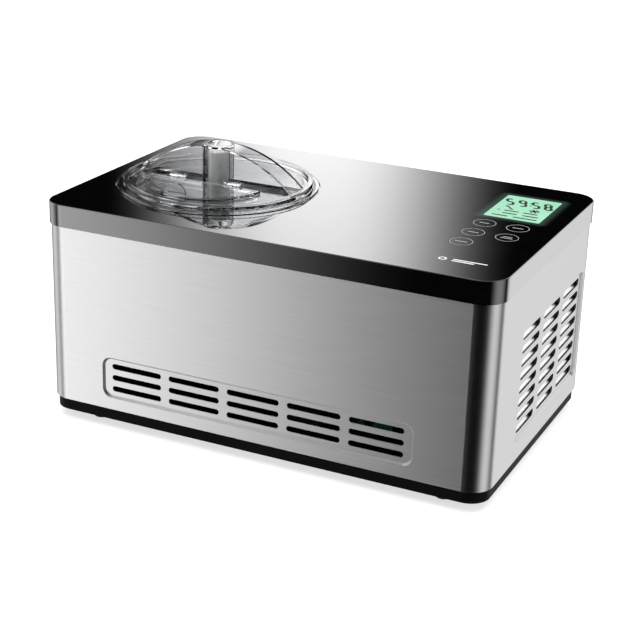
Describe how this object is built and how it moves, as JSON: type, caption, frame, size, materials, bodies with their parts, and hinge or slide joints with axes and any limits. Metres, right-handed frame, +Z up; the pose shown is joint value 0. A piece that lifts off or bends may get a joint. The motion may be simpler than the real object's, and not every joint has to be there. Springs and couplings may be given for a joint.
{
  "type": "ice cream maker",
  "caption": "Countertop compressor ice cream maker: steel housing with louvred vents, glossy top with display and touch keys, clear lid with arched handle and filling flap.",
  "frame": {"origin": "on the standing surface, below the centre of the housing's plan outline, with the rubber feet at z = 0", "axes": "+X to the right along the long front face, +Y from the front face to the rear, +Z up; the front face looks towards -Y"},
  "size_m": [0.425, 0.272, 0.2426],
  "materials": {
    "gloss_black": "high gloss moulded",
    "black_plastic": "fine texture",
    "steel": "brushed along the width",
    "rubber": "matt",
    "zinc_screw": "zinc plated",
    "galvanised": "galvanised sheet",
    "clear_plastic": "clear moulded",
    "display": "backlit liquid crystal",
    "board_green": "solder mask",
    "aluminium": "drawn and anodised",
    "copper": "drawn copper tube",
    "foam": "rigid foam",
    "white_plastic": "moulded",
    "grey_plastic": "moulded",
    "clear_silicone": "soft translucent",
    "polished_steel": "ground",
    "acetal": "moulded",
    "bronze": "sintered",
    "black_paint": "baked enamel",
    "pale_metal": "light satin",
    "winding": "enamelled wire"
  },
  "bodies": {
    "housing": {"base_tray": "black_plastic", "rubber_feet": "rubber", "foot_screws": "zinc_screw", "steel_wrap": "steel", "side_louvres": "pale_metal", "rear_panel": "galvanised", "rear_screws": "zinc_screw", "cord_gland": "black_plastic", "top_cover": "gloss_black", "display_window": "display", "lcd_module": "white_plastic", "control_board": "board_green", "key_switches": "black_plastic", "board_screws": "zinc_screw", "well_liner": "aluminium", "evaporator_coil": "copper", "foam_jacket": "foam", "chassis_plate": "galvanised", "intermediate_pin": "polished_steel", "gear_frame_lower": "galvanised", "gear_frame_upper": "galvanised", "frame_spacers": "polished_steel", "motor_can": "black_paint", "motor_winding": "winding", "shaft_bush": "bronze", "bush_carrier": "acetal", "shaft_seal": "rubber", "compressor": "black_paint", "compressor_plate": "galvanised", "compressor_grommets": "rubber", "compressor_bolts": "zinc_screw", "condenser": "aluminium", "condenser_bracket": "galvanised", "fan_shroud": "black_plastic", "suction_line": "copper", "discharge_line": "copper", "filter_drier": "copper", "liquid_line": "copper", "capillary_tube": "copper", "power_board": "board_green", "board_brackets": "galvanised", "board_components": "black_plastic"},
    "lid": {"lid_body": "clear_plastic", "lid_seal": "clear_silicone", "hinge_pins": "polished_steel"},
    "flap": {"lid_flap": "clear_plastic"},
    "bowl": {"bowl": "aluminium"},
    "stirrer": {"stirrer": "white_plastic"},
    "drive": {"drive_shaft": "polished_steel", "output_gear": "acetal"},
    "countershaft": {"intermediate_gear": "acetal"},
    "motor": {"motor_rotor": "polished_steel", "motor_pinion": "polished_steel"},
    "fan": {"fan_rotor": "grey_plastic"},
    "key_timer": {"key_timer": "gloss_black"},
    "key_menu": {"key_menu": "gloss_black"},
    "key_power": {"key_power": "gloss_black"},
    "key_adjust": {"key_adjust": "gloss_black"},
    "key_start": {"key_start": "gloss_black"}
  },
  "joints": [
    {"name": "lid_lift", "type": "slide", "parent": "housing", "child": "lid", "axis": [0, 0, 1], "range_m": [0, 0.42]},
    {"name": "bowl_lift", "type": "slide", "parent": "housing", "child": "bowl", "axis": [0, 0, 1], "range_m": [0, 0.15]},
    {"name": "drive_spin", "type": "hinge", "parent": "housing", "child": "drive", "pos_m": [-0.104, -0.009, 0.03], "axis": [0, 0, 1], "continuous": true},
    {"name": "stirrer_lift", "type": "slide", "parent": "drive", "child": "stirrer", "axis": [0, 0, 1], "range_m": [0, 0.34]},
    {"name": "countershaft_spin", "type": "hinge", "parent": "housing", "child": "countershaft", "pos_m": [-0.104, 0.03475, 0.03], "axis": [0, 0, 1], "continuous": true},
    {"name": "motor_spin", "type": "hinge", "parent": "housing", "child": "motor", "pos_m": [-0.07137, 0.04996, 0.03], "axis": [0, 0, 1], "continuous": true},
    {"name": "flap_hinge", "type": "hinge", "parent": "lid", "child": "flap", "pos_m": [-0.109, -0.0247, 0.2103], "axis": [-1, 0, 0], "range_deg": [0, 90]},
    {"name": "fan_spin", "type": "hinge", "parent": "housing", "child": "fan", "pos_m": [0.158, 0.025, 0.092], "axis": [1, 0, 0], "continuous": true},
    {"name": "key_timer_press", "type": "slide", "parent": "housing", "child": "key_timer", "axis": [0, 0, -1], "range_m": [0, 0.0004], "stiffness_N_per_m": 300, "springref_m": -0.0005},
    {"name": "key_menu_press", "type": "slide", "parent": "housing", "child": "key_menu", "axis": [0, 0, -1], "range_m": [0, 0.0004], "stiffness_N_per_m": 300, "springref_m": -0.0005},
    {"name": "key_power_press", "type": "slide", "parent": "housing", "child": "key_power", "axis": [0, 0, -1], "range_m": [0, 0.0004], "stiffness_N_per_m": 300, "springref_m": -0.0005},
    {"name": "key_adjust_press", "type": "slide", "parent": "housing", "child": "key_adjust", "axis": [0, 0, -1], "range_m": [0, 0.0004], "stiffness_N_per_m": 300, "springref_m": -0.0005},
    {"name": "key_start_press", "type": "slide", "parent": "housing", "child": "key_start", "axis": [0, 0, -1], "range_m": [0, 0.0004], "stiffness_N_per_m": 300, "springref_m": -0.0005}
  ],
  "couplings": [
    {"joint": "bowl_lift", "follows": "lid_lift", "ratio": 0.35},
    {"joint": "stirrer_lift", "follows": "lid_lift", "ratio": 0.8},
    {"joint": "countershaft_spin", "follows": "drive_spin", "ratio": -4},
    {"joint": "motor_spin", "follows": "drive_spin", "ratio": 20}
  ]
}
